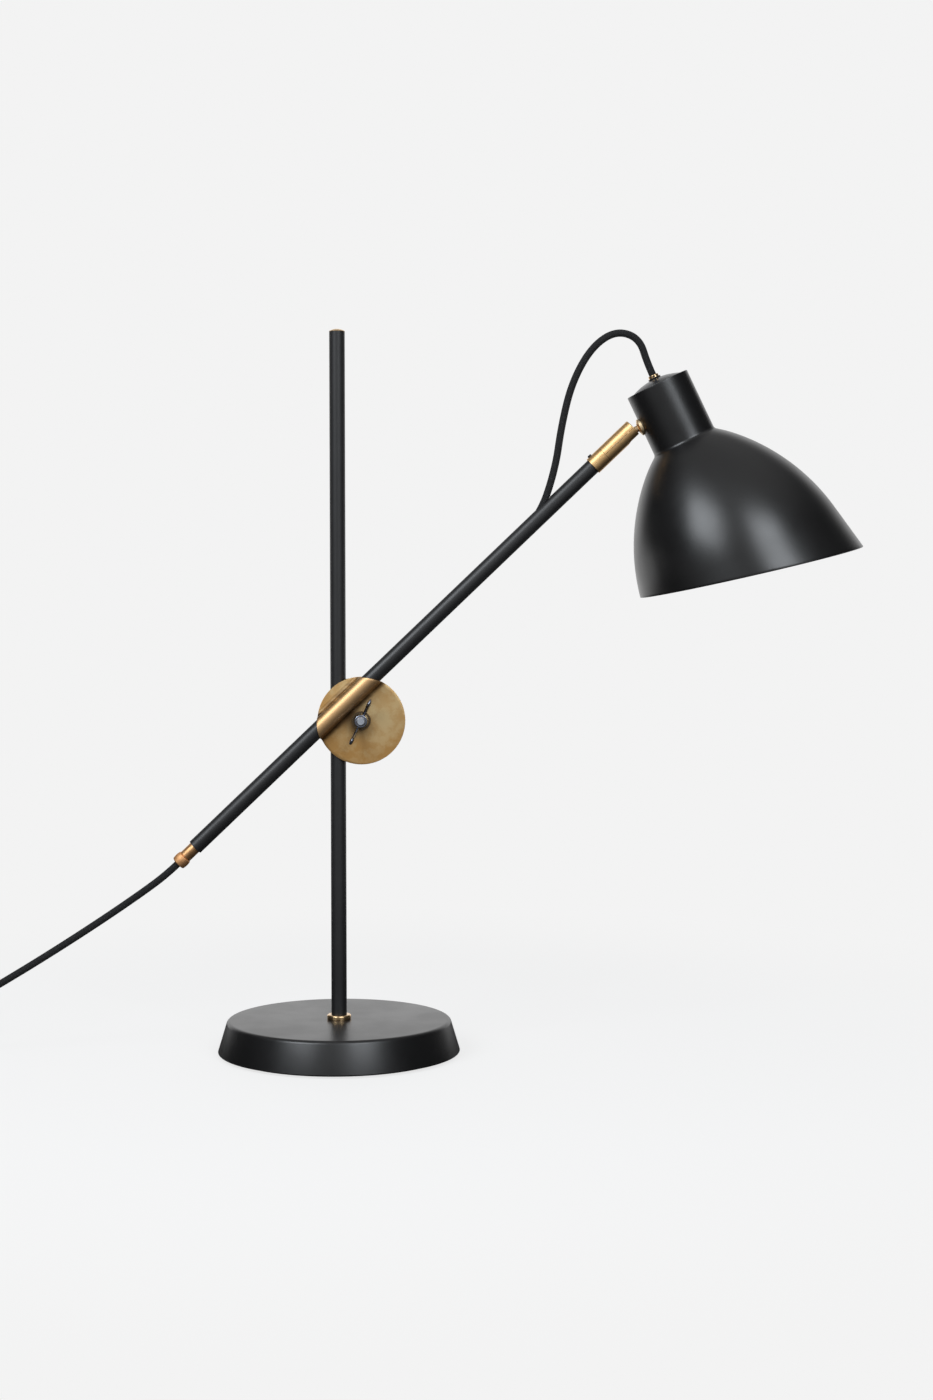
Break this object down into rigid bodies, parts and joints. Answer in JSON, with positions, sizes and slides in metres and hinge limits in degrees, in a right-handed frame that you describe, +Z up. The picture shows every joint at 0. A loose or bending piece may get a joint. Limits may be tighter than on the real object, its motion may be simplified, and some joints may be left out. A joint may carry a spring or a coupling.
{
  "type": "counterweight balance desk lamp",
  "caption": "Desk lamp with a weighted round base, an upright pole, a long arm held by two pressed brass clamp discs, a ball knuckle and a spun metal bell shade.",
  "frame": {"origin": "middle of the base's underside, on the pole's axis", "axes": "+Z up along the pole, +X towards the shade, +Y away from the arm's side of the pole"},
  "size_m": [0.9379, 0.3321, 0.6544],
  "materials": {
    "powder_coat": "satin",
    "brass_sheet": "satin",
    "brass_bright": "polished",
    "brass_dark": "satin",
    "zinc": "satin",
    "black_steel": "satin",
    "cast_iron": "rough",
    "felt": "rough",
    "cord_textile": "braided",
    "black_plastic": "satin",
    "rocker_plastic": "gloss",
    "cap_plastic": "gloss",
    "bulb_glass": "frosted",
    "bulb_cap": "satin",
    "pin_metal": "polished",
    "nylon": "satin",
    "holder_plastic": "matte"
  },
  "bodies": {
    "base": {"base_cover": "powder_coat", "base_weight": "cast_iron", "base_felt": "felt"},
    "pole": {"pole_tube": "powder_coat", "pole_cap": "brass_bright", "pole_stud": "zinc", "pole_collar": "brass_bright", "base_washer": "zinc", "base_nut": "zinc", "cord_floor": "cord_textile", "switch_base": "black_plastic", "switch_cover": "black_plastic", "switch_block": "nylon", "switch_screws": "zinc", "switch_reliefs": "black_plastic", "cord_lead": "cord_textile", "cord_coil": "cord_textile", "cord_tail": "cord_textile", "plug_body": "black_plastic", "plug_pins": "pin_metal", "plug_relief": "black_plastic"},
    "clamp": {"clamp_disc_rear": "brass_sheet", "clamp_bolt": "zinc", "clamp_spacer": "nylon", "cord_hang_lower": "cord_textile"},
    "tilt_disc": {"clamp_disc_front": "brass_sheet", "cord_hang_middle": "cord_textile"},
    "washer": {"clamp_washer": "zinc"},
    "nut": {"wing_nut": "zinc"},
    "arm": {"arm_tube": "powder_coat", "arm_end_sleeve": "brass_dark", "cord_grip_nut": "brass_dark", "knuckle_sleeve": "brass_dark", "knuckle_set_screw": "black_steel", "cord_in_arm": "cord_textile", "cord_hang_upper": "cord_textile", "cord_loop_arm": "cord_textile"},
    "socket": {"knuckle_socket": "brass_dark", "ball_seat": "nylon"},
    "shade": {"ball_stud": "brass_bright", "neck_ring": "brass_bright", "neck_washer": "zinc", "neck_nut": "zinc", "shade": "powder_coat", "neck_cap": "cap_plastic", "cord_nipple": "zinc", "cap_nut": "black_steel", "lock_nut": "zinc", "cord_grip": "brass_bright", "grip_screws": "black_steel", "holder_cap": "holder_plastic", "holder_body": "holder_plastic", "screw_shell": "brass_bright", "centre_contact": "brass_bright", "bulb_cap": "bulb_cap", "bulb_glass": "bulb_glass", "cord_loop_neck": "cord_textile"},
    "rocker": {"switch_rocker": "rocker_plastic"}
  },
  "joints": [
    {"name": "pole_swivel", "type": "hinge", "parent": "base", "child": "pole", "pos_m": [0, 0, 0.031], "axis": [0, 0, 1], "range_deg": [-120, 120]},
    {"name": "clamp_height", "type": "slide", "parent": "pole", "child": "clamp", "axis": [0, 0, 1], "range_m": [-0.06, 0.14], "deforming": ["cord_hang_lower"]},
    {"name": "arm_tilt", "type": "hinge", "parent": "clamp", "child": "tilt_disc", "pos_m": [0.0213, -0.00715, 0.3036], "axis": [0, -1, 0], "range_deg": [-40, 22], "deforming": ["cord_hang_middle"]},
    {"name": "arm_reach", "type": "slide", "parent": "tilt_disc", "child": "arm", "axis": [0.7227, 0, 0.6911], "range_m": [-0.06, 0.06], "deforming": ["cord_hang_upper"]},
    {"name": "shade_swivel", "type": "hinge", "parent": "arm", "child": "socket", "pos_m": [0.23922, -0.0143, 0.54147], "axis": [0.7227, 0, 0.6911], "range_deg": [-60, 60], "deforming": ["cord_loop_arm"]},
    {"name": "shade_tilt", "type": "hinge", "parent": "socket", "child": "shade", "pos_m": [0.25852, -0.0143, 0.55992], "axis": [0, -1, 0], "range_deg": [-35, 18], "deforming": ["cord_loop_neck"]},
    {"name": "washer_slide", "type": "slide", "parent": "clamp", "child": "washer", "axis": [0, -1, 0], "range_m": [0, 0.0026]},
    {"name": "wing_nut_turn", "type": "hinge", "parent": "washer", "child": "nut", "pos_m": [0.0213, -0.00715, 0.3036], "axis": [0, -1, 0], "range_deg": [0, 720]},
    {"name": "switch_rocker_tilt", "type": "hinge", "parent": "pole", "child": "rocker", "pos_m": [-0.455, 0.081, 0.0133], "axis": [-1, 0, 0], "range_deg": [0, 14]}
  ],
  "couplings": [
    {"joint": "washer_slide", "follows": "wing_nut_turn", "m_per_rad": 0.00019894}
  ]
}
